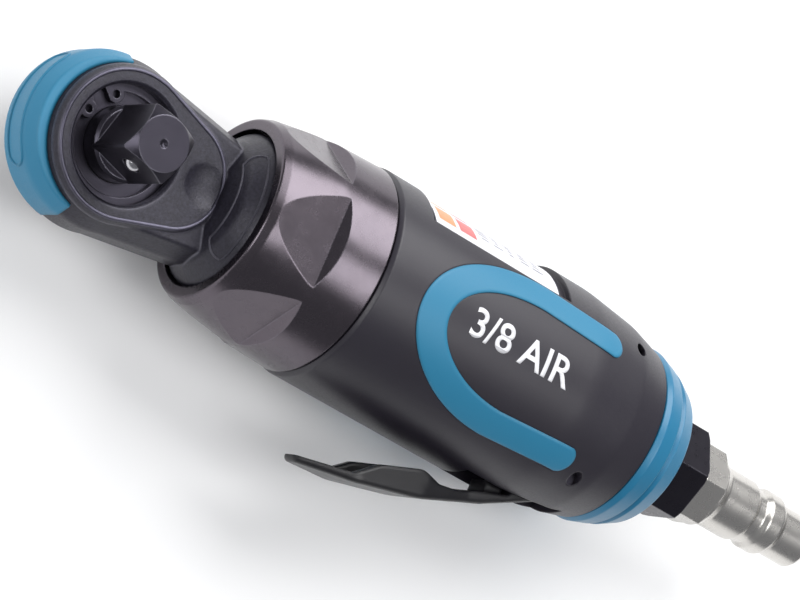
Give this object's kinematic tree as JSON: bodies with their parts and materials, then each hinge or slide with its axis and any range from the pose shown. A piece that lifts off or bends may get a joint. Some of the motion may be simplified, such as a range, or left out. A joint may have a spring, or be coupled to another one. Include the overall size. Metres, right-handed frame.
{
  "type": "air ratchet",
  "caption": "Short pneumatic ratchet wrench with a 3/8 inch square drive, clamp collar, thumb lever, swivelling exhaust ring and quick-coupling plug.",
  "frame": {"origin": "on the square drive's axis, at the shoulder that a socket seats on", "axes": "+Z out of the square drive, +X along the tool from the ratchet head to the air plug, -Y the side of the throttle lever"},
  "size_m": [0.1785, 0.0525, 0.0404],
  "materials": {
    "forged_black": "satin black phosphate",
    "teal_elastomer": "matt moulded",
    "teal_anodised": "satin",
    "black_anodised": "satin black",
    "black_composite": "moulded, fine texture",
    "black_lever": "satin black",
    "black_oxide": "black oxide",
    "nickel": "nickel plated",
    "bright_steel": "ground",
    "gear_steel": "machined and hardened",
    "cast_aluminium": "machined",
    "bronze": "sintered",
    "brass": "turned",
    "fibre": "laminated",
    "black_rubber": "matt",
    "label_film": "printed film, left blank",
    "felt": "pressed felt"
  },
  "bodies": {
    "tool_body": {"ratchet_head": "forged_black", "head_bumper": "teal_elastomer", "head_circlip": "black_oxide", "rear_thrust_washer": "bright_steel", "front_thrust_washer": "black_oxide", "crank_bearing": "bronze", "ring_gear": "gear_steel", "clamp_collar": "black_anodised", "motor_housing": "cast_aluminium", "front_end_plate": "gear_steel", "front_bearing": "bright_steel", "cylinder": "gear_steel", "rear_end_plate": "gear_steel", "rear_bearing": "bright_steel", "dowel": "bright_steel", "gasket": "black_rubber", "valve_seat": "brass", "valve_spring": "bright_steel", "lever_pin": "black_oxide", "grip_shell": "black_composite", "side_inlay_drive_side": "teal_elastomer", "side_inlay_knob_side": "teal_elastomer", "label": "label_film", "muffler": "felt", "deflector_washer": "bright_steel", "inlet_bushing": "black_anodised", "inlet_oring": "black_rubber", "strainer": "brass", "seal_washer": "bright_steel", "air_plug": "nickel"},
    "anvil": {"anvil": "black_oxide", "pawl_pin": "bright_steel", "detent_spring": "bright_steel"},
    "detent_ball": {"detent_ball": "bright_steel"},
    "reverse_knob": {"reverse_knob": "black_oxide", "pawl_plunger": "bright_steel", "pawl_spring": "bright_steel"},
    "pawl": {"pawl": "gear_steel"},
    "yoke": {"ratchet_yoke": "gear_steel"},
    "rotor": {"rotor": "gear_steel", "vanes": "fibre"},
    "crank": {"crankshaft": "gear_steel", "planet_carrier": "gear_steel", "planet_pins": "bright_steel"},
    "planet_1": {"planet_gear_1": "gear_steel"},
    "planet_2": {"planet_gear_2": "gear_steel"},
    "planet_3": {"planet_gear_3": "gear_steel"},
    "drive_bushing": {"drive_bushing": "gear_steel"},
    "lever": {"throttle_lever": "black_lever"},
    "valve_pin": {"valve_pin": "bright_steel"},
    "valve": {"throttle_valve": "brass"},
    "deflector": {"exhaust_deflector": "teal_anodised"}
  },
  "joints": [
    {"name": "anvil_spin", "type": "hinge", "parent": "tool_body", "child": "anvil", "pos_m": [0, 0, 0], "axis": [0, 0, 1], "continuous": true},
    {"name": "detent_ball_press", "type": "slide", "parent": "anvil", "child": "detent_ball", "axis": [0.2588, 0.9659, 0], "range_m": [0, 0.0007], "stiffness_N_per_m": 300, "springref_m": -0.002},
    {"name": "reverse_turn", "type": "hinge", "parent": "anvil", "child": "reverse_knob", "pos_m": [0, 0, -0.0062], "axis": [0, 0, 1], "range_deg": [-25, 25]},
    {"name": "pawl_rock", "type": "hinge", "parent": "anvil", "child": "pawl", "pos_m": [0.0053, 0, -0.0062], "axis": [0, 0, 1], "range_deg": [-12.5, 12.5]},
    {"name": "yoke_swing", "type": "hinge", "parent": "tool_body", "child": "yoke", "pos_m": [0, 0, -0.0062], "axis": [0, 0, 1], "range_deg": [-5, 5]},
    {"name": "rotor_spin", "type": "hinge", "parent": "tool_body", "child": "rotor", "pos_m": [0.061, 0, -0.0062], "axis": [1, 0, 0], "continuous": true},
    {"name": "crank_spin", "type": "hinge", "parent": "tool_body", "child": "crank", "pos_m": [0.025, 0, -0.0062], "axis": [1, 0, 0], "continuous": true},
    {"name": "bushing_turn", "type": "hinge", "parent": "crank", "child": "drive_bushing", "pos_m": [0.014, 0, -0.00498], "axis": [1, 0, 0], "continuous": true},
    {"name": "lever_press", "type": "hinge", "parent": "tool_body", "child": "lever", "pos_m": [0.1015, -0.0135, -0.0062], "axis": [0, 0, -1], "range_deg": [0, 8], "stiffness_Nm_per_rad": 1, "springref_deg": -8.59},
    {"name": "valve_pin_slide", "type": "slide", "parent": "tool_body", "child": "valve_pin", "axis": [0, 1, 0], "range_m": [0, 0.0011]},
    {"name": "valve_tilt", "type": "hinge", "parent": "tool_body", "child": "valve", "pos_m": [0.101, 0, -0.0062], "axis": [0, 0, -1], "range_deg": [0, 8.8], "deforming": ["valve_spring"]},
    {"name": "deflector_swivel", "type": "hinge", "parent": "tool_body", "child": "deflector", "pos_m": [0.117, 0, -0.0062], "axis": [1, 0, 0], "continuous": true},
    {"name": "planet_spin_1", "type": "hinge", "parent": "crank", "child": "planet_1", "pos_m": [0.0335, 0, -0.0143], "axis": [1, 0, 0], "continuous": true},
    {"name": "planet_spin_2", "type": "hinge", "parent": "crank", "child": "planet_2", "pos_m": [0.0335, 0.00701, -0.00215], "axis": [1, 0, 0], "continuous": true},
    {"name": "planet_spin_3", "type": "hinge", "parent": "crank", "child": "planet_3", "pos_m": [0.0335, -0.00701, -0.00215], "axis": [1, 0, 0], "continuous": true}
  ],
  "couplings": [
    {"joint": "pawl_rock", "follows": "reverse_turn", "ratio": -0.48},
    {"joint": "crank_spin", "follows": "rotor_spin", "ratio": 0.22222},
    {"joint": "bushing_turn", "follows": "rotor_spin", "ratio": -0.22222},
    {"joint": "valve_pin_slide", "follows": "lever_press", "m_per_rad": 0.0077},
    {"joint": "valve_tilt", "follows": "lever_press", "ratio": 1.0694},
    {"joint": "planet_spin_1", "follows": "rotor_spin", "ratio": -0.62222},
    {"joint": "planet_spin_2", "follows": "rotor_spin", "ratio": -0.62222},
    {"joint": "planet_spin_3", "follows": "rotor_spin", "ratio": -0.62222}
  ]
}
